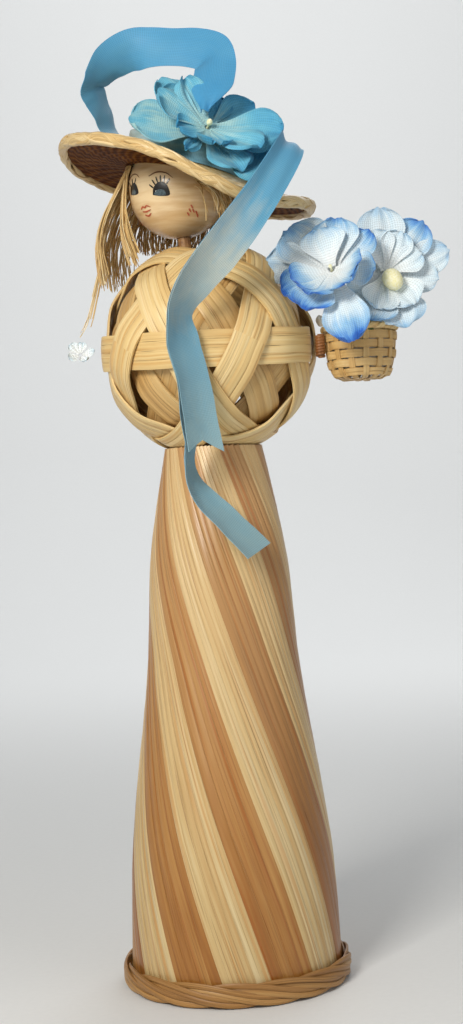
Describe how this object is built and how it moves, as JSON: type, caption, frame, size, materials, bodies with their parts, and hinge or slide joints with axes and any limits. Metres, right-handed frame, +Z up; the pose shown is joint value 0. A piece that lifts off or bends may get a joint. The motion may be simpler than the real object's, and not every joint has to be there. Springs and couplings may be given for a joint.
{
  "type": "wicker doll",
  "caption": "Standing craft doll with a hollow twisted-straw skirt, woven cane ball torso, wooden bead head, straw hat with ribbon, and a basket of cloth flowers.",
  "frame": {"origin": "middle of the doll's box, on the surface that the skirt's base stands on", "axes": "+Z up through the doll; -Y the way the ribbon tails hang and the hat's flower looks; +X towards the basket"},
  "size_m": [0.1117, 0.0828, 0.2853],
  "materials": {
    "pale_straw": "split straw, pale, satin",
    "tan_straw": "split straw, browned, satin",
    "cane": "split cane, satin",
    "inner_cane": "split cane in shadow, satin",
    "bead_wood": "turned wooden bead, lacquered",
    "hat_straw": "plaited straw, matte",
    "hair_straw": "loose straw fibre, matte",
    "blue_ribbon": "sheer nylon ribbon",
    "blue_petal": "dyed cloth petal",
    "white_petal": "cloth petal, white with blue tips",
    "cream_stamen": "moulded cream knob",
    "stem_wire": "green sleeved wire",
    "clear_glue": "set craft glue, milky",
    "brown_twine": "wound brown twine"
  },
  "bodies": {
    "figure": {"skirt_slat_01": "pale_straw", "skirt_slat_02": "tan_straw", "skirt_slat_03": "pale_straw", "skirt_slat_04": "tan_straw", "skirt_slat_05": "pale_straw", "skirt_slat_06": "tan_straw", "skirt_slat_07": "pale_straw", "skirt_slat_08": "tan_straw", "skirt_slat_09": "pale_straw", "skirt_slat_10": "tan_straw", "skirt_slat_11": "pale_straw", "skirt_slat_12": "tan_straw", "skirt_slat_13": "pale_straw", "skirt_slat_14": "tan_straw", "base_hoop": "cane", "base_rim_strand_a": "cane", "base_rim_strand_b": "tan_straw", "skirt_plug": "cane", "neck_peg": "bead_wood", "ball_outer_hoop_1": "cane", "ball_outer_hoop_2": "cane", "ball_outer_hoop_3": "cane", "ball_outer_hoop_4": "cane", "ball_outer_hoop_5": "cane", "ball_outer_hoop_6": "cane", "ball_inner_hoop_1": "inner_cane", "ball_inner_hoop_2": "inner_cane", "ball_inner_hoop_3": "inner_cane", "ball_inner_hoop_4": "inner_cane", "ball_inner_hoop_5": "inner_cane", "ball_inner_hoop_6": "inner_cane", "flower_a_outer_petals": "white_petal", "flower_a_inner_petals": "white_petal", "flower_a_stamen": "cream_stamen", "flower_b_outer_petals": "white_petal", "flower_b_inner_petals": "white_petal", "flower_b_stamen": "cream_stamen", "flower_a_stem": "stem_wire", "flower_b_stem": "stem_wire", "basket_bowl": "cane", "basket_rim": "cane", "basket_filling": "clear_glue", "basket_glue": "clear_glue", "basket_tie": "brown_twine"},
    "head": {"head_bead": "bead_wood", "hair_cap": "hair_straw", "hair_left": "hair_straw", "hair_back": "hair_straw", "hair_right": "hair_straw", "hair_tuft": "white_petal", "hat_body": "hat_straw", "hat_rim": "hat_straw", "ribbon_band": "blue_ribbon", "ribbon_loop": "blue_ribbon", "ribbon_tail_short": "blue_ribbon", "ribbon_tail_long": "blue_ribbon", "hat_flower_outer_petals": "blue_petal", "hat_flower_inner_petals": "blue_petal", "hat_flower_stamen": "cream_stamen"}
  },
  "joints": [
    {"name": "head_turn", "type": "hinge", "parent": "figure", "child": "head", "pos_m": [-0.01937, 0.0017, 0.23655], "axis": [-0.075, 0, 0.9972], "range_deg": [-35, 25]}
  ]
}
